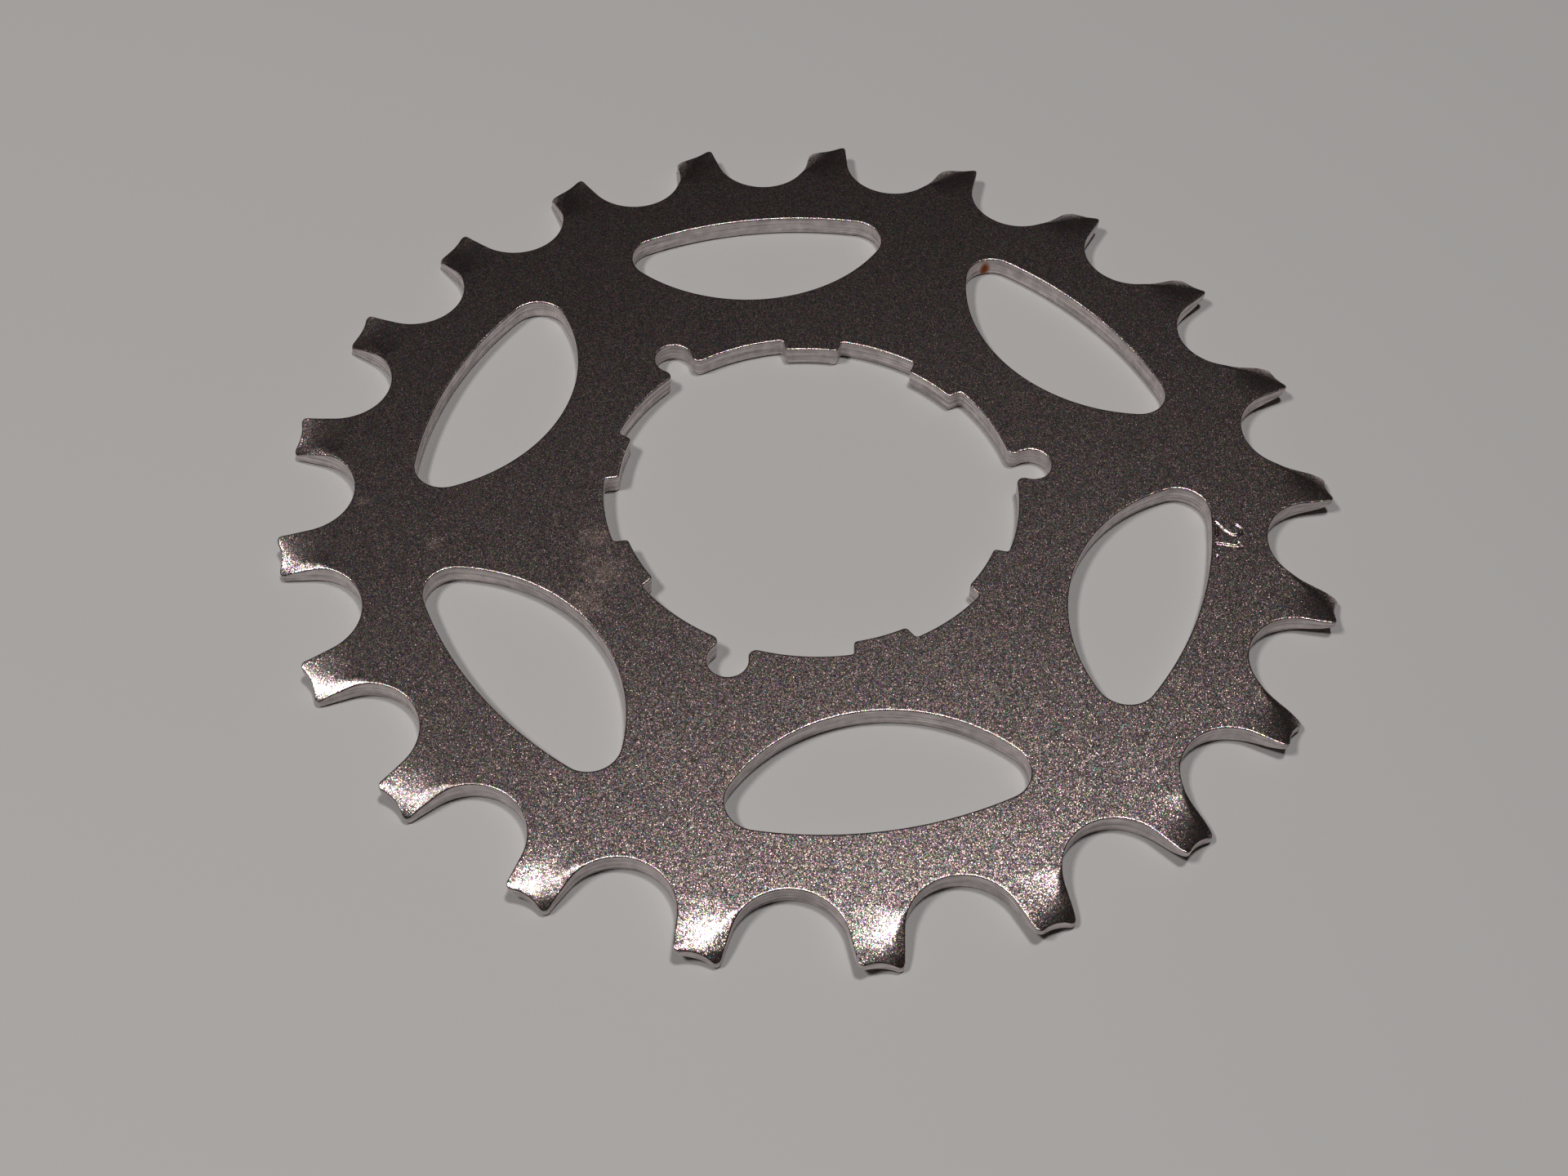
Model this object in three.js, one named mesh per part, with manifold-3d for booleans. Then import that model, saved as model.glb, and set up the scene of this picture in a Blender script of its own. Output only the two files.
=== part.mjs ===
// Cassette sprocket: one stamped, coined and plated steel plate with twisted teeth.
// Millimetres. The origin is on the bore axis at the back face, and +Z points out of the front,
// marked face. A round spline notch is centred on +X.
import * as THREE from 'three';
import { mergeVertices } from 'three/addons/utils/BufferGeometryUtils.js';
import Module from 'manifold-3d';

const wasm = await Module();
wasm.setup();

const degrees = Math.PI / 180;
const halfTurn = Math.PI;
const quarterTurn = Math.PI / 2;

// Chain and plate
const chainPitch = 12.7;
const toothCount = 21;
const plateThickness = 1.85;
const toothStep = (2 * Math.PI) / toothCount;
const pitchRadius = chainPitch / 2 / Math.sin(toothStep / 2);

// Tooth outline
const gulletRadius = 4.35;
const rootRadius = pitchRadius - 4.4;
const tipRadius = pitchRadius + 1.6;
const flankLean = 7 * degrees;
const tipCornerRadius = 0.45;
const tipHollow = 0.25;
const firstGapAngle = 1 * degrees;

// Coining of a tooth's front. The roll is a cylinder that drops away towards the tip, starting
// rollLength inside it on a line skewed by rollSkew. The facet is a flat cut down towards the
// counterclockwise flank. The back carries the same two cuts, turned half round the tooth's axis.
const rollLength = 3.6;
const rollSkew = Math.atan(0.8);
const rollRadius = 7;
const rollReach = 4.2;
const rollHalfWidth = 3.7;
const facetStart = new THREE.Vector2(pitchRadius - 2.04, 1.83);
const facetSlopeOut = 0.28;
const facetSlopeAcross = 0.26;
const facetReach = 3.2;
const facetFoot = 0.9;
const facetLength = 5.4;
const cutterHeadroom = 1;
const cutterLeadShare = 0.5;

// Spline bore: nine places, every third one a round notch and the others lugs
const boreRadius = 17.45;
const splinePlaces = 9;
const lugRadius = 16.25;
const lugHalfWidth = 2.35;
const lugTaper = 19 * degrees;
const lugCornerRadius = 0.35;
const lugSideShare = 0.95;
const notchRadius = 1.65;
const notchCentre = 19.1;
const notchNeck = 1.36;
const notchMouthRadius = 0.5;

// Lightening windows
const windowCount = 6;
const firstWindowAngle = 30 * degrees;
const windowOuterRadius = 33.55;
const windowBellyRadius = 14.72;
const windowBellyCentre = 37.7;
const windowCornerRadius = 2.52;

// Every outline feature is drawn pointing along +X, x outwards and y counterclockwise across it,
// with its points in counterclockwise order round the disc, and is then turned to its place.
function arc(centre, radius, from, to, steps) {
  return Array.from({ length: steps + 1 }, (_, i) => {
    const angle = from + ((to - from) * i) / steps;
    return new THREE.Vector2(Math.cos(angle), Math.sin(angle)).multiplyScalar(radius).add(centre);
  });
}

function mirrored(points) {
  return points.map((point) => new THREE.Vector2(point.x, -point.y)).reverse();
}

function turned(points, angle) {
  const axis = new THREE.Vector2(0, 0);
  return points.map((point) => point.clone().rotateAround(axis, angle));
}

function gulletPoints() {
  const centre = new THREE.Vector2(rootRadius + gulletRadius, 0);
  const halfSweep = quarterTurn - flankLean - toothStep / 2;
  return arc(centre, gulletRadius, halfTurn + halfSweep, halfTurn - halfSweep, 10);
}

// The straight flanks run from the last gullet point to the first tip corner point. The hollow
// between the two tip corners is an arc that touches both.
function toothTipPoints() {
  const gulletCentre = rootRadius + gulletRadius;
  const footOut = gulletCentre * Math.cos(toothStep / 2) - gulletRadius * Math.sin(flankLean);
  const footAcross = gulletCentre * Math.sin(toothStep / 2) - gulletRadius * Math.cos(flankLean);
  const cornerOut = tipRadius - tipCornerRadius;
  const flankAtCorner = footAcross - (cornerOut - footOut) * Math.tan(flankLean);
  const corner = new THREE.Vector2(cornerOut, flankAtCorner - tipCornerRadius / Math.cos(flankLean));
  const hollowDepth = tipCornerRadius - tipHollow;
  const reach = hollowDepth ** 2 + corner.y ** 2 - tipCornerRadius ** 2;
  const hollowRadius = reach / (2 * tipHollow);
  const hollowCentre = new THREE.Vector2(cornerOut + hollowDepth + hollowRadius, 0);
  const meeting = Math.atan2(corner.y, hollowCentre.x - cornerOut);
  const leading = arc(corner, tipCornerRadius, -meeting, quarterTurn - flankLean, 4);
  const hollow = arc(hollowCentre, hollowRadius, halfTurn + meeting, halfTurn - meeting, 4);
  return [...mirrored(leading), ...hollow.slice(1, -1), ...leading];
}

function rimPoints() {
  const places = Array.from({ length: toothCount }, (_, i) => firstGapAngle + i * toothStep);
  return places.flatMap((angle) => [
    ...turned(gulletPoints(), angle),
    ...turned(toothTipPoints(), angle + toothStep / 2),
  ]);
}

function lugPoints() {
  const cornerReach = lugRadius + lugCornerRadius;
  const cornerAngle = Math.asin((lugHalfWidth - lugCornerRadius) / cornerReach);
  const corner = new THREE.Vector2(cornerReach, 0).rotateAround(new THREE.Vector2(), cornerAngle);
  const rounded = arc(corner, lugCornerRadius, halfTurn + cornerAngle, quarterTurn + lugTaper, 3);
  const side = rounded[rounded.length - 1];
  const rise = (boreRadius - side.x) * lugSideShare;
  const foot = new THREE.Vector2(side.x + rise, side.y + rise * Math.tan(lugTaper));
  foot.setLength(boreRadius);
  const half = [...rounded, foot];
  return [...mirrored(half), new THREE.Vector2(lugRadius, 0), ...half];
}

function notchPoints() {
  const mouthReach = boreRadius + notchMouthRadius;
  const mouthAngle = Math.asin((notchNeck + notchMouthRadius) / mouthReach);
  const mouth = new THREE.Vector2(mouthReach, 0).rotateAround(new THREE.Vector2(), mouthAngle);
  const lip = arc(mouth, notchMouthRadius, halfTurn + quarterTurn, halfTurn + mouthAngle, 3);
  const neckAngle = halfTurn - Math.asin(notchNeck / notchRadius);
  const round = arc(new THREE.Vector2(notchCentre, 0), notchRadius, -neckAngle, neckAngle, 14);
  return [...mirrored(lip), ...round, ...lip];
}

function borePoints() {
  const step = (2 * Math.PI) / splinePlaces;
  const points = [];
  for (let i = 0; i < splinePlaces; i += 1) {
    const feature = i % 3 === 0 ? notchPoints() : lugPoints();
    points.push(...turned(feature, i * step));
    const next = (i + 1) % 3 === 0 ? notchPoints() : lugPoints();
    const from = feature[feature.length - 1].angle() + i * step;
    const to = next[0].clone().setY(-next[0].y).angle();
    const between = arc(new THREE.Vector2(), boreRadius, from, (i + 1) * step - to, 3);
    points.push(...between.slice(1, -1));
  }
  return points;
}

function windowPoints() {
  const outerReach = windowOuterRadius - windowCornerRadius;
  const bellyReach = windowBellyRadius - windowCornerRadius;
  const cornerX = (windowBellyCentre ** 2 + outerReach ** 2 - bellyReach ** 2) / (2 * windowBellyCentre);
  const corner = new THREE.Vector2(cornerX, Math.sqrt(outerReach ** 2 - cornerX ** 2));
  const belly = new THREE.Vector2(windowBellyCentre, 0);
  const outerEnd = corner.angle();
  const bellyEnd = corner.clone().sub(belly).angle();
  const rounded = arc(corner, windowCornerRadius, outerEnd, bellyEnd, 5);
  const bellyArc = arc(belly, windowBellyRadius, bellyEnd, 2 * Math.PI - bellyEnd, 12);
  const outerArc = arc(new THREE.Vector2(), windowOuterRadius, -outerEnd, outerEnd, 8);
  return [...rounded, ...bellyArc.slice(1, -1), ...mirrored(rounded), ...outerArc.slice(1, -1)];
}

function blankGeometry() {
  const shape = new THREE.Shape(rimPoints());
  shape.holes.push(new THREE.Path(borePoints()));
  for (let i = 0; i < windowCount; i += 1) {
    const angle = firstWindowAngle + (i * 2 * Math.PI) / windowCount;
    shape.holes.push(new THREE.Path(turned(windowPoints(), angle)));
  }
  return new THREE.ExtrudeGeometry(shape, { depth: plateThickness, bevelEnabled: false });
}

// A prism above the front face. Its profile has x along the heading and y up from the face.
// It runs from one distance to another along the line a quarter turn clockwise of the heading.
function coiningCutter(profile, start, heading, from, to) {
  const geometry = new THREE.ExtrudeGeometry(new THREE.Shape(profile), {
    depth: to - from,
    bevelEnabled: false,
  });
  geometry.translate(0, 0, from);
  geometry.rotateX(quarterTurn);
  geometry.rotateZ(heading);
  geometry.translate(start.x, start.y, plateThickness);
  return geometry;
}

// The first stretch of a cutter's lower side is drawn back above the face, so that it crosses the
// face cleanly where the cut starts.
function profileAbove(underside) {
  const lead = underside[1].clone().multiplyScalar(-cutterLeadShare);
  const last = underside[underside.length - 1];
  return [
    lead,
    ...underside,
    new THREE.Vector2(last.x, cutterHeadroom),
    new THREE.Vector2(lead.x, cutterHeadroom),
  ];
}

function rollCutter() {
  const centre = new THREE.Vector2(0, -rollRadius);
  const sweep = Math.asin(rollReach / rollRadius);
  const underside = arc(centre, rollRadius, quarterTurn, quarterTurn - sweep, 6);
  underside[0].set(0, 0);
  const start = new THREE.Vector2(tipRadius - rollLength, 0);
  return coiningCutter(profileAbove(underside), start, rollSkew, -rollHalfWidth, rollHalfWidth);
}

function facetCutter() {
  const slope = Math.hypot(facetSlopeOut, facetSlopeAcross);
  const heading = Math.atan2(facetSlopeAcross, facetSlopeOut);
  const underside = [new THREE.Vector2(0, 0), new THREE.Vector2(facetReach, -facetReach * slope)];
  return coiningCutter(profileAbove(underside), facetStart, heading, -facetFoot, facetLength);
}

function toSolid(geometry) {
  const bare = geometry.clone();
  bare.deleteAttribute('normal');
  bare.deleteAttribute('uv');
  const merged = mergeVertices(bare, 1e-4);
  const mesh = new wasm.Mesh({
    numProp: 3,
    vertProperties: new Float32Array(merged.attributes.position.array),
    triVerts: new Uint32Array(merged.index.array),
  });
  return new wasm.Manifold(mesh);
}

function toGeometry(solid) {
  const mesh = solid.getMesh();
  const geometry = new THREE.BufferGeometry();
  geometry.setAttribute('position', new THREE.BufferAttribute(mesh.vertProperties, 3));
  geometry.setIndex(new THREE.BufferAttribute(mesh.triVerts, 1));
  geometry.computeVertexNormals();
  return geometry;
}

function coinedSprocket() {
  const cutters = [rollCutter(), facetCutter()];
  const toBack = new THREE.Matrix4().makeRotationX(halfTurn).setPosition(0, 0, plateThickness);
  const faces = [new THREE.Matrix4(), toBack];
  let solid = toSolid(blankGeometry());
  for (let i = 0; i < toothCount; i += 1) {
    const toTooth = new THREE.Matrix4().makeRotationZ(firstGapAngle + (i + 0.5) * toothStep);
    for (const toFace of faces) {
      for (const cutter of cutters) {
        const placed = cutter.clone().applyMatrix4(toFace).applyMatrix4(toTooth);
        solid = solid.subtract(toSolid(placed));
      }
    }
  }
  return toGeometry(solid);
}

const plating = new THREE.MeshStandardMaterial({ color: 0x5f5a58, roughness: 0.4, metalness: 1 });
const sprocket = new THREE.Mesh(coinedSprocket(), plating);
sprocket.name = 'sprocket';

const part = new THREE.Group();
part.add(sprocket);

export default part;
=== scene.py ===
"""Looks of a bicycle cassette sprocket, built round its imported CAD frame.

The fine sprocket is one closed mesh. A flat sheet is laid out first, with rings of points along
every edge and denser grids on the teeth and round the number. The sheet is lifted twice, to the
front face and to the back face, and the cut walls join the two. It is drawn in millimetres with
complex numbers, x along the real axis and y along the imaginary one.
"""
import math

import bpy
import numpy as np
from mathutils import Matrix, Vector
from mathutils.geometry import delaunay_2d_cdt


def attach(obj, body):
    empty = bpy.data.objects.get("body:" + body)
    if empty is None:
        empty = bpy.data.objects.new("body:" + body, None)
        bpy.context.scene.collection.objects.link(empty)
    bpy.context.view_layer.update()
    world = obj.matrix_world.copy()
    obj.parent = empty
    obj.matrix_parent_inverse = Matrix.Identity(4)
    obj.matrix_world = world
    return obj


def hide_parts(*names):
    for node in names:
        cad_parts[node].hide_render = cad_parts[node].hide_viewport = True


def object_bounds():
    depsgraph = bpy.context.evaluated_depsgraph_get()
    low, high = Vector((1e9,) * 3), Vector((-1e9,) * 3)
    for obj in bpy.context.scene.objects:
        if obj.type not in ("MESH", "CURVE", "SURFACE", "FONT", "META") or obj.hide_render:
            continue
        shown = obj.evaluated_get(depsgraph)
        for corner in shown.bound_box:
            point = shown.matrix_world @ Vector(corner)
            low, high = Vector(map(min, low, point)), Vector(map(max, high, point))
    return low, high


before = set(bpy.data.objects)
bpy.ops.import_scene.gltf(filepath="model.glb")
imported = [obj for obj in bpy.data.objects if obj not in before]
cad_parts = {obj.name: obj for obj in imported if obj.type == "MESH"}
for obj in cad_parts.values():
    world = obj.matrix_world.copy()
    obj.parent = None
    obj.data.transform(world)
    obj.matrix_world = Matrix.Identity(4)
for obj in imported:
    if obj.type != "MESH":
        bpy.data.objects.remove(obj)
cad_low, cad_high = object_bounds()

MM = 0.001
THICKNESS = (cad_high.z - cad_low.z) / MM

# Chain and tooth outline
TOOTH_COUNT = 21
TOOTH_STEP = 2 * math.pi / TOOTH_COUNT
PITCH_RADIUS = 12.7 / 2 / math.sin(TOOTH_STEP / 2)
GULLET_RADIUS = 4.35
ROOT_DEPTH = 4.4
GULLET_CENTRE = PITCH_RADIUS - ROOT_DEPTH + GULLET_RADIUS
FLANK_LEAN = math.radians(7)
TIP_CORNER = 0.45
TIP_HOLLOW = 0.25
FIRST_GAP = math.radians(1)

# The tips are 2 micrometres short of the CAD's, so that rounding keeps them inside its box
TIP_RADIUS = PITCH_RADIUS + 1.598

# Coining of the teeth. The roll is a ramp down to the tip that starts softly at ROLL_START, which
# comes earlier on the counterclockwise side. It steepens outwards, most of all on that side, leans
# down towards the clockwise side and is a little hollow across. The facet is a plane that lowers
# the counterclockwise flank and the tip.
ROLL_START = TIP_RADIUS - 3.35
ROLL_SKEW = 0.78
ROLL_LEAD_IN = 1.0
ROLL_SLOPE = 0.105
ROLL_CURVE = 0.008
ROLL_TWIST = 0.037
ROLL_LEAN = -0.058
ROLL_HOLLOW = -0.027
FACET_OUT = PITCH_RADIUS - 2.04
FACET_ACROSS = 1.83
FACET_SLOPE_OUT = 0.28
FACET_SLOPE_ACROSS = 0.27
CREASE_SOFTNESS = 0.02
COINED_FROM = 39.5
COINED_FULLY = COINED_FROM + 1

# Spline bore
BORE_RADIUS = 17.45
SPLINE_PLACES = 9
LUG_RADIUS = 16.25
LUG_HALF_WIDTH = 2.35
LUG_TAPER = math.radians(19)
LUG_CORNER = 0.35
LUG_FOOT = 0.28
NOTCH_RADIUS = 1.65
NOTCH_CENTRE = 19.1
NOTCH_LIP = 0.65

# Lightening windows
WINDOW_COUNT = 6
FIRST_WINDOW = math.radians(30)
WINDOW_OUTER = 33.55
WINDOW_BELLY = 14.72
WINDOW_BELLY_CENTRE = 37.7
WINDOW_CORNER = 2.52

# Stamped edges and walls. The edges are rounder on the body than at the tips, and change between
# the two radii in TIP_EDGE_ZONE. The last ring of points lies FLAT_BAND past the rounding.
FRONT_EDGE = 0.12
TIP_EDGE = 0.09
BACK_EDGE = 0.16
TIP_EDGE_ZONE = (41.5, 43.8)
EDGE_ANGLES = (0, 20, 42, 66, 90)
FLAT_BAND = 0.09
WALL_FADE = 0.015
EDGE_STEP = 0.24
WALL_FLARE = 0.05
WALL_UNEVENNESS = 0.05

# Rows of points down a wall: share of the way from front to back, and how far in from the edge
WALL_ROWS = ((0.05, 0.0), (0.34, 0.0), (0.44, 0.012), (0.5, 0.03), (0.72, 0.034), (0.95, 0.046))

# Grid of points over the coined part of a tooth, and how far it keeps from the edges
TOOTH_GRID = 0.2
GRID_MARGIN = FRONT_EDGE + 0.16
ROW_STAGGER = 0.87

# The number, stamped into the front face: NUMBER_RADIUS is the foot of its figures, and its width
# is laid off along NUMBER_ARC
NUMBER_ANGLE = math.radians(343.25)
NUMBER_RADIUS = 33.95
NUMBER_ARC = NUMBER_RADIUS + 1
NUMBER_HEIGHT = 2.05
NUMBER_SPAN = (-2.6, 2.9)
NUMBER_MARGIN = 0.4
NUMBER_DEPTH = 0.1
NUMBER_GRID = 0.06
STROKE_HALF_WIDTH = 0.15

# Plating: cells or waves to the metre, and how far they lean the surface. A higher SPARSITY makes
# the strong grains fewer.
GRAIN_SCALE = 16000
GENTLE_LEAN = 0.19
STRONG_LEAN = 0.14
SPARSITY = 3.5
SWELL_SCALE = 2500
SWELL_LEAN = 0.06
WALL_CALM = 0.7
CLOUD_SCALE = 60
FACE_DARK = (0.57, 0.41, 0.395, 1)
FACE_LIGHT = (0.65, 0.49, 0.475, 1)
GRAIN_COLOUR = (0.66, 0.49, 0.475, 1)
GRAIN_TINT = (1.2, 1.2, 1.2)
GRAIN_BRIGHT = 0.4
GRAIN_DARKEST = 0.15
FACE_ROUGHNESS = 0.276
WALL_ROUGHER = 0.3

# Drag lines on the cut walls. They are stretched along the wall by squeezing x and y.
DRAG_LINES = 5000
DRAG_SQUEEZE = (0.03, 0.03, 1.0)
DRAG_TILT = 0.5
DRAG_CONTRAST = 2.0
BLOTCH_SCALE = 1200
CUT_DARK = (0.4, 0.36, 0.355, 1)
CUT_LIGHT = (0.92, 0.85, 0.84, 1)

# Spots: radius, angle and height of each one's middle, and its own radius. They are stretched in
# height, to reach further down a wall than along it.
SPOT_HEIGHT = 0.6
SPOT_FADE = 1.5
SPOT_LUMPS = 4
SMUDGES = (
    ((31.6, 182.7, THICKNESS), 0.9),
    ((37.3, 174.3, THICKNESS), 0.6),
    ((19.4, 199.5, THICKNESS), 2.3),
    ((18.6, 188.5, THICKNESS), 1.6),
    ((22.3, 205, THICKNESS), 1.7),
)
SMUDGE_RAGGED = 4.0
SMUDGE_SHARE = 0.6
SMUDGE_COLOUR = (0.66, 0.5, 0.44, 1)
SMUDGE_ROUGHER = 0.04
RUST_SPOT = ((32.75, 50.4, 0.68), 0.6)
RUST_RAGGED = 0.5
RUST_COLOUR = (0.62, 0.23, 0.09, 1)
RUST_ROUGHER = 0.4

# Floor, light and camera. A light has its azimuth and elevation in degrees, size and radiance.
FLOOR_HALF = 2.0
FLOOR_GAP = 0.02
FLOOR_COLOUR = (0.5, 0.49, 0.485, 1)
FLOOR_ROUGHNESS = 0.6
LIGHTS = (
    ("overhead", 110.7, 81.8, (0.12, 0.12), 54),
    ("left_softbox", -81.6, 59, (0.2, 0.12), 34),
)
LIGHT_COLOUR = (1, 0.98, 0.965)
DOME_RADIUS = 0.8
STUDIO_COLOUR = (1.0, 0.92, 0.9, 1)
STUDIO_STRENGTH = 0.005
CAMERA_AZIMUTH = math.radians(-11.25)
CAMERA_ELEVATION = math.radians(52.3)
CAMERA_ROLL = math.radians(2.46)
CAMERA_DISTANCE = 156.2
LOOK_AT = Vector((-4.03, -10.22, 1.85))
LENS = 44.42
SENSOR = 36.0
NEAREST_SEEN = 0.01


def turn(angle):
    return np.exp(1j * angle)


# ---------------------------------------------------------------- outlines
def arc(centre, radius, start, end):
    steps = max(3, math.ceil(radius * abs(end - start) / EDGE_STEP))
    return centre + radius * turn(np.linspace(start, end, steps + 1))


def mirrored(points):
    return np.conj(points)[::-1]


def closed(arcs):
    """One loop of points from arcs in order, with the straight stretches between them cut up."""
    pieces = []
    for piece, following in zip(arcs, arcs[1:] + arcs[:1]):
        gap = following[0] - piece[-1]
        steps = max(1, math.ceil(abs(gap) / EDGE_STEP))
        pieces.append(piece)
        pieces.append(piece[-1] + gap * np.arange(1, steps) / steps)
    points = np.concatenate(pieces)
    return points[np.abs(points - np.roll(points, 1)) > 1e-6]


def gullet():
    half_sweep = math.pi / 2 - FLANK_LEAN - TOOTH_STEP / 2
    return arc(GULLET_CENTRE, GULLET_RADIUS, math.pi + half_sweep, math.pi - half_sweep)


def flank_half_width(out):
    """Half the width of a tooth, by distance from the bore axis, above its gullets."""
    centre = GULLET_CENTRE * turn(TOOTH_STEP / 2)
    foot_out = centre.real - GULLET_RADIUS * math.sin(FLANK_LEAN)
    foot_across = centre.imag - GULLET_RADIUS * math.cos(FLANK_LEAN)
    return foot_across - (out - foot_out) * math.tan(FLANK_LEAN)


def tooth_tip():
    """The tip: two rounded corners, and a hollow arc between them that touches both."""
    out = TIP_RADIUS - TIP_CORNER
    across = flank_half_width(out) - TIP_CORNER / math.cos(FLANK_LEAN)
    deep = TIP_CORNER - TIP_HOLLOW
    radius = (deep**2 + across**2 - TIP_CORNER**2) / (2 * TIP_HOLLOW)
    centre = out + deep + radius
    meeting = math.atan2(across, centre - out)
    leading = arc(out + 1j * across, TIP_CORNER, -meeting, math.pi / 2 - FLANK_LEAN)
    hollow = arc(centre, radius, math.pi + meeting, math.pi - meeting)
    return [mirrored(leading), hollow[1:-1], leading]


def rim():
    arcs = []
    for i in range(TOOTH_COUNT):
        gap = FIRST_GAP + i * TOOTH_STEP
        arcs.append(gullet() * turn(gap))
        arcs.extend(piece * turn(gap + TOOTH_STEP / 2) for piece in tooth_tip())
    return closed(arcs)


def lug():
    reach = LUG_RADIUS + LUG_CORNER
    corner_angle = math.asin((LUG_HALF_WIDTH - LUG_CORNER) / reach)
    side_angle = math.pi / 2 + LUG_TAPER
    corner = arc(reach * turn(corner_angle), LUG_CORNER, math.pi + corner_angle, side_angle)
    along = turn(LUG_TAPER)
    start = corner[-1] + turn(side_angle) * LUG_FOOT
    lean = (np.conj(along) * start).real
    length = -lean + math.sqrt(lean**2 - abs(start) ** 2 + (BORE_RADIUS - LUG_FOOT) ** 2)
    foot_centre = start + along * length
    foot = arc(foot_centre, LUG_FOOT, LUG_TAPER - math.pi / 2, np.angle(foot_centre))
    face = arc(0, LUG_RADIUS, -corner_angle, corner_angle)
    return [mirrored(foot), mirrored(corner), face, corner, foot]


def notch():
    lip_reach = BORE_RADIUS + NOTCH_LIP
    apart = NOTCH_RADIUS + NOTCH_LIP
    out = (lip_reach**2 + NOTCH_CENTRE**2 - apart**2) / (2 * NOTCH_CENTRE)
    lip_centre = out + 1j * math.sqrt(lip_reach**2 - out**2)
    meeting = np.angle(lip_centre - NOTCH_CENTRE)
    lip = arc(lip_centre, NOTCH_LIP, meeting + math.pi, math.pi + np.angle(lip_centre))
    pocket = arc(NOTCH_CENTRE, NOTCH_RADIUS, -meeting, meeting)
    return [mirrored(lip), pocket, lip]


def bore():
    step = 2 * math.pi / SPLINE_PLACES
    features = [notch() if i % 3 == 0 else lug() for i in range(SPLINE_PLACES)]
    arcs = []
    for i, feature in enumerate(features):
        following = features[(i + 1) % SPLINE_PLACES]
        start = np.angle(feature[-1][-1]) + i * step
        end = np.angle(following[0][0]) + (i + 1) * step
        arcs.extend(piece * turn(i * step) for piece in feature)
        arcs.append(arc(0, BORE_RADIUS, start, end))
    return closed(arcs)


def window():
    outer_reach = WINDOW_OUTER - WINDOW_CORNER
    belly_reach = WINDOW_BELLY - WINDOW_CORNER
    out = (WINDOW_BELLY_CENTRE**2 + outer_reach**2 - belly_reach**2) / (2 * WINDOW_BELLY_CENTRE)
    corner = out + 1j * math.sqrt(outer_reach**2 - out**2)
    outer_end = np.angle(corner)
    belly_end = np.angle(corner - WINDOW_BELLY_CENTRE)
    rounded = arc(corner, WINDOW_CORNER, outer_end, belly_end)
    belly = arc(WINDOW_BELLY_CENTRE, WINDOW_BELLY, belly_end, 2 * math.pi - belly_end)
    outer = arc(0, WINDOW_OUTER, -outer_end, outer_end)
    return closed([rounded, belly, mirrored(rounded), outer])


def outlines():
    """Every edge of the plate, each running with the metal on its left."""
    places = FIRST_WINDOW + np.arange(WINDOW_COUNT) * 2 * math.pi / WINDOW_COUNT
    holes = [bore()] + [window() * turn(angle) for angle in places]
    return [rim()] + [hole[::-1] for hole in holes]


def inward(loop):
    """Unit directions into the metal, at right angles to the loop."""
    ahead = np.roll(loop, -1) - loop
    ahead /= np.abs(ahead)
    along = ahead + np.roll(ahead, 1)
    return 1j * along / np.abs(along)


# ---------------------------------------------------------------- heights
def smoothstep(value, low, high):
    t = np.clip((value - low) / (high - low), 0, 1)
    return t * t * (3 - 2 * t)


def in_tooth(points):
    """How far out along the nearest tooth each point is, and how far across it."""
    first = FIRST_GAP + TOOTH_STEP / 2
    nearest = np.round((np.angle(points) - first) / TOOTH_STEP) * TOOTH_STEP + first
    local = points * turn(-nearest)
    return local.real, local.imag


def coining(out, across):
    """How far the coining lowers a face: the deeper of roll and facet, softly creased between."""
    past = out - ROLL_START + ROLL_SKEW * across
    ramp = (past + np.sqrt(past**2 + ROLL_LEAD_IN**2)) / 2
    slope = ROLL_SLOPE + ROLL_CURVE * ramp + ROLL_TWIST * ramp * across
    roll = ramp * (slope + ROLL_LEAN * across + ROLL_HOLLOW * across**2)
    facet = FACET_SLOPE_OUT * (out - FACET_OUT) + FACET_SLOPE_ACROSS * (across - FACET_ACROSS)
    deepest = (roll + facet + np.sqrt((roll - facet) ** 2 + CREASE_SOFTNESS**2)) / 2
    return np.maximum(deepest, 0) * smoothstep(out, COINED_FROM, COINED_FULLY)


def edge_drop(inset, radius):
    """How far a rounded edge has fallen, by distance in from the wall."""
    short = np.clip(radius - inset, 0, None)
    return radius - np.sqrt(radius**2 - short**2)


def number_strokes():
    """The strokes of the number as lists of points: x along the reading direction, y up."""
    two_bowl = arc(-0.68 + 1.45j, 0.57, math.radians(165), math.radians(-30))
    two_foot = np.array([-1.3 + 0j, -0.02 + 0j])
    two = np.concatenate([two_bowl, [-0.57 + 0.6j], two_foot])
    one = np.array([1 + 0j, 1 + 2.05j, 0.6 + 1.75j])
    stop = np.array([2.35 + 0.05j, 2.36 + 0.06j])
    return [two, one, stop]


def from_strokes(points, strokes):
    """Distance from each point to the nearest stroke."""
    nearest = np.full(points.shape, np.inf)
    for stroke in strokes:
        for start, end in zip(stroke[:-1], stroke[1:]):
            run = end - start
            share = np.clip((np.conj(run) * (points - start)).real / abs(run) ** 2, 0, 1)
            nearest = np.minimum(nearest, np.abs(points - start - share * run))
    return nearest


def number_frame(points):
    """Points in the number's own frame: reading clockwise, with its top away from the bore."""
    local = points * turn(-NUMBER_ANGLE)
    return -np.angle(local) * NUMBER_ARC + 1j * (np.abs(local) - NUMBER_RADIUS)


def number_drop(points):
    near = from_strokes(number_frame(points), number_strokes())
    groove = np.clip(1 - (near / STROKE_HALF_WIDTH) ** 2, 0, None)
    return NUMBER_DEPTH * groove


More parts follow.
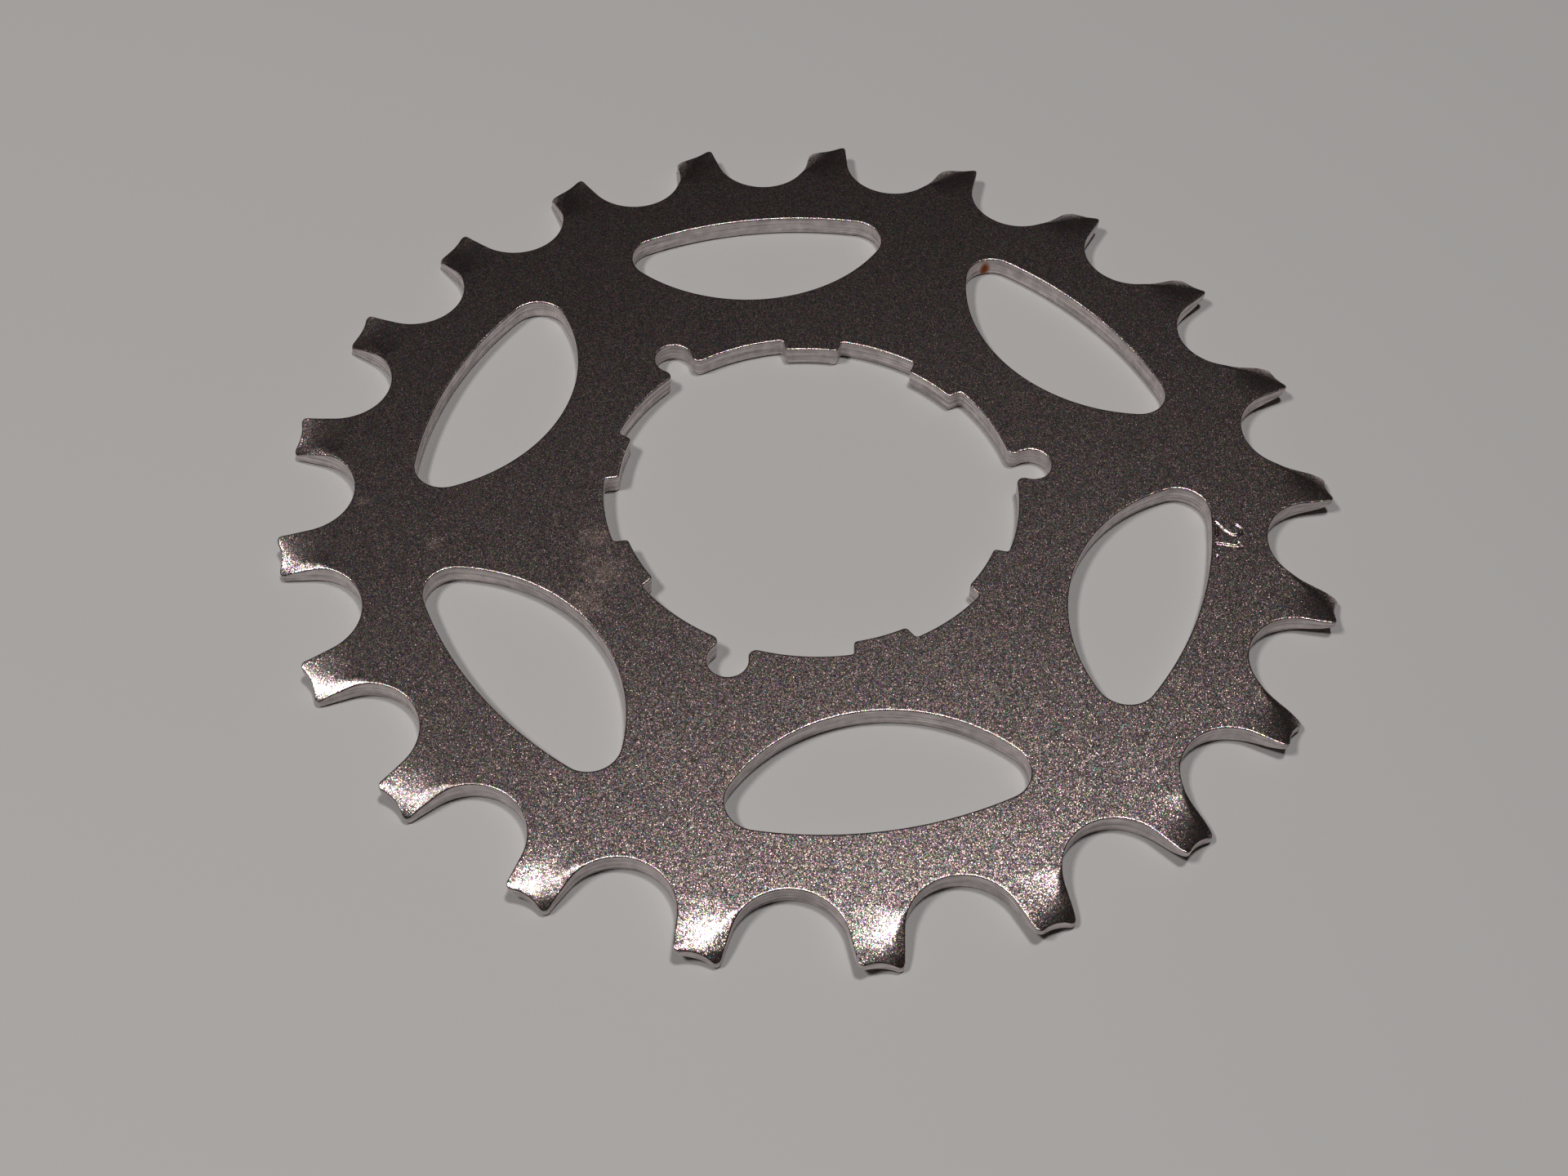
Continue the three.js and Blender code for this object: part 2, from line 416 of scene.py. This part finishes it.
# ---------------------------------------------------------------- the sheet
def tooth_grid():
    """Staggered points over the coined part of every tooth, clear of its edges."""
    margin = GRID_MARGIN
    rows = []
    outs = np.arange(COINED_FROM, TIP_RADIUS - margin, TOOTH_GRID * ROW_STAGGER)
    for i, out in enumerate(outs):
        across = (np.arange(-30, 31) + 0.5 * (i % 2)) * TOOTH_GRID
        rows.append(out + 1j * across)
    points = np.concatenate(rows)
    gullet_centre = GULLET_CENTRE * turn(TOOTH_STEP / 2)
    folded = points.real + 1j * np.abs(points.imag)
    clear_of_gullets = np.abs(folded - gullet_centre) > GULLET_RADIUS + margin
    clear_of_flanks = np.abs(points.imag) < flank_half_width(points.real) - margin
    above_gullet = points.real > gullet_centre.real - 0.5
    points = points[clear_of_gullets & (clear_of_flanks | ~above_gullet)]
    corner_out = TIP_RADIUS - TIP_CORNER
    corner = corner_out + 1j * (flank_half_width(corner_out) - TIP_CORNER)
    folded = points.real + 1j * np.abs(points.imag)
    in_corner = (folded.real > corner.real) & (folded.imag > corner.imag)
    points = points[~in_corner | (np.abs(folded - corner) < TIP_CORNER - margin)]
    points = points[points.real < TIP_RADIUS - TIP_HOLLOW - margin]
    turns = FIRST_GAP + (np.arange(TOOTH_COUNT) + 0.5) * TOOTH_STEP
    return (points[None, :] * turn(turns)[:, None]).ravel()


def number_grid():
    """Staggered points round the number."""
    x = np.arange(*NUMBER_SPAN, NUMBER_GRID)
    y = np.arange(-NUMBER_MARGIN, NUMBER_HEIGHT + NUMBER_MARGIN, NUMBER_GRID * ROW_STAGGER)
    grid = x[None, :] + 1j * y[:, None]
    grid[1::2] += NUMBER_GRID / 2
    angle = NUMBER_ANGLE - grid.real / NUMBER_ARC
    return ((NUMBER_RADIUS + grid.imag) * turn(angle)).ravel()


def contains(loop, points):
    """Whether each point is inside the loop, by counting the edges crossed on the way right."""
    start, end = loop[None, :], np.roll(loop, -1)[None, :]
    here = points[:, None]
    spans = (start.imag > here.imag) != (end.imag > here.imag)
    rise = np.where(start.imag == end.imag, 1, end.imag - start.imag)
    crossing = start.real + (here.imag - start.imag) * (end.real - start.real) / rise
    return (spans & (here.real < crossing)).sum(1) % 2 == 1


def in_holes(points, holes):
    """Whether each point is inside any of the holes, none of which reaches past the windows."""
    inside = np.abs(points) < WINDOW_OUTER + edge_insets()[-1]
    near = points[inside]
    inside[inside] = np.any([contains(hole, near) for hole in holes], axis=0)
    return inside


def edge_insets():
    rounded = FRONT_EDGE * (1 - np.cos(np.radians(EDGE_ANGLES)))
    return np.append(rounded, FRONT_EDGE + FLAT_BAND)


def lay_sheet():
    """The flat sheet: its points, each point's inset from the wall, its faces and edge loops."""
    insets = edge_insets()
    points, inset, quads, walls, ties = [], [], [], [], []
    base = 0
    for loop in outlines():
        size = len(loop)
        into = inward(loop)
        here = np.arange(size)
        following = np.roll(here, -1)
        walls.append(base + here)
        for k, d in enumerate(insets):
            points.append(loop + into * d)
            inset.append(np.full(size, d))
            row = base + k * size
            if k < len(insets) - 1:
                above = row + size
                corners = [row + here, row + following, above + following, above + here]
                quads.append(np.stack(corners, 1))
            else:
                ties.append(np.stack([row + here, row + following], 1))
        base += size * len(insets)
    rings = np.concatenate(points)
    quads = np.concatenate(quads)
    ties = np.concatenate(ties)
    inner = np.unique(ties)
    place = np.full(base, -1)
    place[inner] = np.arange(len(inner))
    # The triangles end at the last ring round each hole, and not at its wall
    holes = [rings[wall + (len(insets) - 1) * len(wall)] for wall in walls[1:]]
    extra = np.concatenate([tooth_grid(), number_grid()])
    extra = extra[~in_holes(extra, holes)]
    flat = np.concatenate([rings[inner], extra])
    vectors = [Vector((p.real, p.imag)) for p in flat]
    made = delaunay_2d_cdt(vectors, place[ties].tolist(), [], 1, 1e-5)
    source = [ids[0] for ids in made[3]]
    back = np.concatenate([inner, base + np.arange(len(extra))])
    triangles = back[np.array([[source[v] for v in face] for face in made[2]])]
    all_points = np.concatenate([rings, extra])
    middles = all_points[triangles].mean(1)
    triangles = triangles[~in_holes(middles, holes)]
    all_insets = np.concatenate([np.concatenate(inset), np.full(len(extra), FRONT_EDGE * 2)])
    return all_points, all_insets, quads, triangles, walls


def lift(points, insets, front):
    """Height of the sheet above the back face, for the front or for the back."""
    out, across = in_tooth(points)
    edge = FRONT_EDGE if front else BACK_EDGE
    radius = edge + (min(TIP_EDGE, edge) - edge) * smoothstep(out, *TIP_EDGE_ZONE)
    if front:
        return THICKNESS - coining(out, across) - edge_drop(insets, radius) - number_drop(points)
    return coining(out, -across) + edge_drop(insets, radius)


def wander(points):
    """A slow unevenness along an edge, between about -1 and 1."""
    x, y = points.real, points.imag
    waves = np.sin(0.9 * x + 1.3 * y) + np.sin(1.7 * x - 0.8 * y + 2) + np.sin(3.1 * y + 0.7 * x)
    return waves / 3


def sprocket_mesh():
    points, insets, quads, triangles, walls = lay_sheet()
    count = len(points)
    front = lift(points, insets, True)
    thin = (front - lift(points, insets, False)) / THICKNESS
    reach = edge_insets()[-1]
    normal = np.zeros(count, complex)
    flare = np.zeros(count)
    for wall in walls:
        size = len(wall)
        into = inward(points[wall])
        for k in range(len(edge_insets())):
            rows = wall + k * size
            normal[rows] = into
            flare[rows] = WALL_FLARE * thin[wall] * (1 - insets[rows] / reach)
    back_points = points + normal * flare
    back = lift(back_points, insets, False)

    xyz = [np.stack([points.real, points.imag, front], 1)]
    xyz.append(np.stack([back_points.real, back_points.imag, back], 1))
    wallness = [np.exp(-insets / WALL_FADE)] * 2
    faces = [triangles.tolist(), quads.tolist()]
    faces += [(triangles[:, ::-1] + count).tolist(), (quads[:, ::-1] + count).tolist()]
    base = 2 * count
    for wall in walls:
        size = len(wall)
        loop = points[wall]
        into = normal[wall]
        rows = [wall]
        for share, inset in WALL_ROWS:
            uneven = WALL_UNEVENNESS * wander(loop) * (0.1 < share < 0.9)
            height = front[wall] + (back[wall] - front[wall]) * (share + uneven)
            moved = loop + into * inset * thin[wall]
            xyz.append(np.stack([moved.real, moved.imag, height], 1))
            wallness.append(np.ones(size))
            rows.append(base + np.arange(size))
            base += size
        rows.append(wall + count)
        for upper, lower in zip(rows[:-1], rows[1:]):
            ahead_upper = np.roll(upper, -1)
            ahead_lower = np.roll(lower, -1)
            faces.append(np.stack([upper, lower, ahead_lower, ahead_upper], 1).tolist())
    mesh = bpy.data.meshes.new("sprocket_plate")
    mesh.from_pydata(np.concatenate(xyz) * MM, [], [face for part in faces for face in part])
    wall_values = mesh.attributes.new("wall", "FLOAT", "POINT").data
    wall_values.foreach_set("value", np.concatenate(wallness))
    mesh.validate()
    mesh.shade_smooth()
    return mesh


# ---------------------------------------------------------------- materials
def new_material(name):
    material = bpy.data.materials.new(name)
    material.use_nodes = True
    nodes = material.node_tree.nodes
    return material, nodes, material.node_tree.links, nodes["Principled BSDF"]


def add(nodes, kind, **settings):
    node = nodes.new(kind)
    for key, value in settings.items():
        setattr(node, key, value)
    return node


def noise(nodes, links, place, scale, detail=2.0, roughness=0.5):
    node = add(nodes, "ShaderNodeTexNoise")
    node.inputs["Scale"].default_value = scale
    node.inputs["Detail"].default_value = detail
    node.inputs["Roughness"].default_value = roughness
    links.new(place, node.inputs["Vector"])
    return node


def math_node(nodes, links, operation, first, second=None, third=None):
    node = add(nodes, "ShaderNodeMath", operation=operation)
    for socket, value in zip(node.inputs, (first, second, third)):
        if value is None:
            continue
        if isinstance(value, (int, float)):
            socket.default_value = value
        else:
            links.new(value, socket)
    return node.outputs[0]


def vector_node(nodes, links, operation, first, second=None, third=None):
    node = add(nodes, "ShaderNodeVectorMath", operation=operation)
    for socket, value in zip(node.inputs, (first, second, third)):
        if value is None:
            continue
        if isinstance(value, tuple):
            socket.default_value = value
        else:
            links.new(value, socket)
    return node.outputs[0]


def scaled(nodes, links, vector, factor):
    node = add(nodes, "ShaderNodeVectorMath", operation="SCALE")
    links.new(vector, node.inputs[0])
    if isinstance(factor, (int, float)):
        node.inputs["Scale"].default_value = factor
    else:
        links.new(factor, node.inputs["Scale"])
    return node.outputs[0]


def mixed(nodes, links, share, first, second):
    node = add(nodes, "ShaderNodeMix", data_type="RGBA")
    links.new(share, node.inputs["Factor"])
    for socket, value in ((node.inputs[6], first), (node.inputs[7], second)):
        if isinstance(value, tuple):
            socket.default_value = value
        else:
            links.new(value, socket)
    return node.outputs[2]


def grains(nodes, links, place, scale):
    """Cells like the plating's grains. Each has a colour, a random number and a random colour."""
    cells = add(nodes, "ShaderNodeTexVoronoi")
    cells.inputs["Scale"].default_value = scale
    links.new(place, cells.inputs["Vector"])
    chance = add(nodes, "ShaderNodeTexWhiteNoise", noise_dimensions="3D")
    links.new(cells.outputs["Position"], chance.inputs["Vector"])
    return cells.outputs["Color"], chance.outputs["Value"], chance.outputs["Color"]


def at(radius, degrees, height):
    """A place on the plate, in metres."""
    place = radius * turn(math.radians(degrees))
    return (place.real * MM, place.imag * MM, height * MM)


def patch(nodes, links, place, spot, ragged):
    """A ragged spot: 1 in its middle and 0 outside it."""
    where, radius = spot
    centre = at(*where)
    away = add(nodes, "ShaderNodeVectorMath", operation="DISTANCE")
    away.inputs[1].default_value = (centre[0], centre[1], centre[2] * SPOT_HEIGHT)
    squashed = vector_node(nodes, links, "MULTIPLY", place, (1, 1, SPOT_HEIGHT))
    links.new(squashed, away.inputs[0])
    distance = away.outputs["Value"]
    uneven = noise(nodes, links, place, SPOT_LUMPS / (radius * MM)).outputs["Fac"]
    edge = math_node(nodes, links, "MULTIPLY_ADD", uneven, ragged, SPOT_FADE - ragged / 2)
    fall = -SPOT_FADE / (radius * MM)
    near = math_node(nodes, links, "MULTIPLY_ADD", distance, fall, edge)
    near.node.use_clamp = True
    return near


def plated_steel():
    material, nodes, links, shader = new_material("plated_steel")
    place = add(nodes, "ShaderNodeTexCoord").outputs["Object"]
    wall = add(nodes, "ShaderNodeAttribute", attribute_name="wall").outputs["Fac"]
    geometry = add(nodes, "ShaderNodeNewGeometry")

    # Every grain of the plated face leans its own way, most of them a little and some more, over a
    # slow swell. The cut walls are smoother.
    way, chance, shade = grains(nodes, links, place, GRAIN_SCALE)
    middle = (0.5, 0.5, 0.5)
    few = math_node(nodes, links, "POWER", chance, SPARSITY)
    much = math_node(nodes, links, "MULTIPLY_ADD", few, STRONG_LEAN, GENTLE_LEAN)
    grain_lean = scaled(nodes, links, vector_node(nodes, links, "SUBTRACT", way, middle), much)
    swell = noise(nodes, links, place, SWELL_SCALE, 1.0).outputs["Color"]
    swell_way = vector_node(nodes, links, "SUBTRACT", swell, middle)
    swell_lean = scaled(nodes, links, swell_way, SWELL_LEAN)
    lean = vector_node(nodes, links, "ADD", grain_lean, swell_lean)
    calm = math_node(nodes, links, "MULTIPLY_ADD", wall, -WALL_CALM, 1.0)
    lean = scaled(nodes, links, lean, calm)

    # Lines run along the cut walls, where the punch has dragged
    squeezed = vector_node(nodes, links, "MULTIPLY", place, DRAG_SQUEEZE)
    lines = noise(nodes, links, squeezed, DRAG_LINES, 2.0, 0.6).outputs["Fac"]
    full_tilt = (0, 0, DRAG_TILT)
    half_tilt = (0, 0, -DRAG_TILT / 2)
    tilt = vector_node(nodes, links, "MULTIPLY_ADD", lines, full_tilt, half_tilt)
    lean = vector_node(nodes, links, "ADD", lean, scaled(nodes, links, tilt, wall))
    leaning = vector_node(nodes, links, "ADD", geometry.outputs["Normal"], lean)
    links.new(vector_node(nodes, links, "NORMALIZE", leaning), shader.inputs["Normal"])

    # Colour of the faces, with their grains
    cloud = noise(nodes, links, place, CLOUD_SCALE, 3.0).outputs["Fac"]
    face = mixed(nodes, links, cloud, FACE_DARK, FACE_LIGHT)
    bright = math_node(nodes, links, "MULTIPLY_ADD", chance, GRAIN_BRIGHT, GRAIN_DARKEST)
    tint = vector_node(nodes, links, "MULTIPLY_ADD", shade, GRAIN_TINT, bright)
    face = vector_node(nodes, links, "MULTIPLY", face, tint)
    face = mixed(nodes, links, few, face, GRAIN_COLOUR)
    smudge = 0.0
    for spot in SMUDGES:
        one = patch(nodes, links, place, spot, SMUDGE_RAGGED)
        smudge = math_node(nodes, links, "MAXIMUM", smudge, one)
    film = math_node(nodes, links, "MULTIPLY", smudge, SMUDGE_SHARE)
    face = mixed(nodes, links, film, face, SMUDGE_COLOUR)

    # Colour of the cut walls, and rust on one of them
    blotch = noise(nodes, links, place, BLOTCH_SCALE, 3.0).outputs["Fac"]
    darker = math_node(nodes, links, "SUBTRACT", blotch, 1.0)
    streak = math_node(nodes, links, "MULTIPLY_ADD", lines, DRAG_CONTRAST, darker)
    cut = mixed(nodes, links, streak, CUT_DARK, CUT_LIGHT)
    plated = mixed(nodes, links, wall, face, cut)
    rust = patch(nodes, links, place, RUST_SPOT, RUST_RAGGED)
    colour = mixed(nodes, links, rust, plated, RUST_COLOUR)
    links.new(colour, shader.inputs["Base Color"])

    roughness = math_node(nodes, links, "MULTIPLY_ADD", wall, WALL_ROUGHER, FACE_ROUGHNESS)
    roughness = math_node(nodes, links, "MULTIPLY_ADD", smudge, SMUDGE_ROUGHER, roughness)
    roughness = math_node(nodes, links, "MULTIPLY_ADD", rust, RUST_ROUGHER, roughness)
    links.new(roughness, shader.inputs["Roughness"])
    shader.inputs["Metallic"].default_value = 1.0
    return material


def pale_floor():
    material, _, _, shader = new_material("pale_floor")
    shader.inputs["Base Color"].default_value = FLOOR_COLOUR
    shader.inputs["Roughness"].default_value = FLOOR_ROUGHNESS
    return material


# ---------------------------------------------------------------- pieces
def add_sprocket():
    piece = bpy.data.objects.new("sprocket_plate", sprocket_mesh())
    bpy.context.collection.objects.link(piece)
    piece.data.materials.append(plated_steel())
    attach(piece, "root")
    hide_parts("sprocket")


def add_floor():
    half = FLOOR_HALF
    mesh = bpy.data.meshes.new("floor")
    corners = [(-half, -half, 0), (half, -half, 0), (half, half, 0), (-half, half, 0)]
    mesh.from_pydata(corners, [], [(0, 1, 2, 3)])
    mesh.materials.append(pale_floor())
    floor = bpy.data.objects.new("floor", mesh)
    floor.location.z = cad_low.z - FLOOR_GAP * MM
    bpy.context.collection.objects.link(floor)


# ---------------------------------------------------------------- camera and light
def direction(azimuth, elevation):
    flat = math.cos(elevation)
    return Vector((math.sin(azimuth) * flat, -math.cos(azimuth) * flat, math.sin(elevation)))


def add_camera():
    back = direction(CAMERA_AZIMUTH, CAMERA_ELEVATION)
    level = Vector((math.cos(CAMERA_AZIMUTH), math.sin(CAMERA_AZIMUTH), 0))
    upright = back.cross(level)
    c, s = math.cos(CAMERA_ROLL), math.sin(CAMERA_ROLL)
    right = level * c + upright * s
    up = upright * c - level * s
    data = bpy.data.cameras.new("camera")
    data.lens = LENS
    data.sensor_width = SENSOR
    data.clip_start = NEAREST_SEEN
    camera = bpy.data.objects.new("camera", data)
    turned = Matrix((right, up, back)).transposed().to_4x4()
    camera.matrix_world = Matrix.Translation((LOOK_AT + back * CAMERA_DISTANCE) * MM) @ turned
    bpy.context.collection.objects.link(camera)
    bpy.context.scene.camera = camera


def add_area_light(name, azimuth, elevation, size, radiance):
    """An oval light that faces the middle of the scene, at the given place on a dome."""
    width, height = size
    data = bpy.data.lights.new(name, "AREA")
    data.shape = "ELLIPSE"
    data.size = width
    data.size_y = height
    data.energy = radiance * math.pi * width * height
    data.color = LIGHT_COLOUR
    light = bpy.data.objects.new(name, data)
    aim = direction(math.radians(azimuth), math.radians(elevation))
    light.location = aim * DOME_RADIUS
    light.rotation_mode = "QUATERNION"
    light.rotation_quaternion = aim.to_track_quat("Z", "Y")
    bpy.context.collection.objects.link(light)


def add_lights():
    for light in LIGHTS:
        add_area_light(*light)
    world = bpy.data.worlds.new("studio")
    world.use_nodes = True
    background = world.node_tree.nodes["Background"]
    background.inputs["Color"].default_value = STUDIO_COLOUR
    background.inputs["Strength"].default_value = STUDIO_STRENGTH
    bpy.context.scene.world = world


add_camera()
add_floor()
add_lights()
add_sprocket()
bpy.context.scene.view_settings.view_transform = "Standard"
